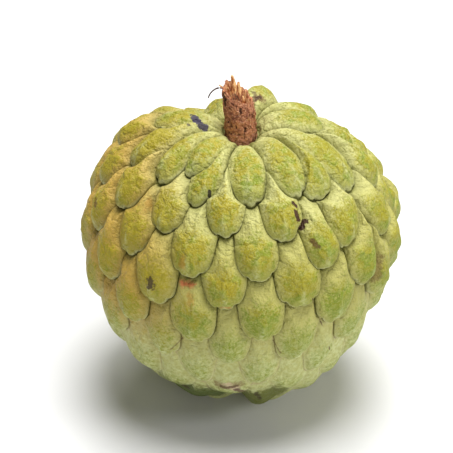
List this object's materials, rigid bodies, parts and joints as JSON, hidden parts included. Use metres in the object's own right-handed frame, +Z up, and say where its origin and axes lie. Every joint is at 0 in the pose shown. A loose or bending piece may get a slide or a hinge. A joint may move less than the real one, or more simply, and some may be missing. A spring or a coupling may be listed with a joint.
{
  "type": "custard apple",
  "caption": "Round tropical fruit with overlapping rounded scales that flatten towards the base, and a broken woody stem standing in a shallow hollow on top.",
  "frame": {"origin": "on the ground, at the middle of the small flat spot that the fruit rests on", "axes": "+Z up along the axis of the fruit, -Y the side that faces the viewer, +X to the viewer's right"},
  "size_m": [0.089, 0.0888, 0.0945],
  "materials": {
    "skin": "waxy pale yellow-green rind with a whitish bloom",
    "bark": "rough reddish-brown bark with torn pale fibres at the top"
  },
  "bodies": {
    "root": {"fruit": "skin", "stem": "bark"}
  },
  "joints": []
}
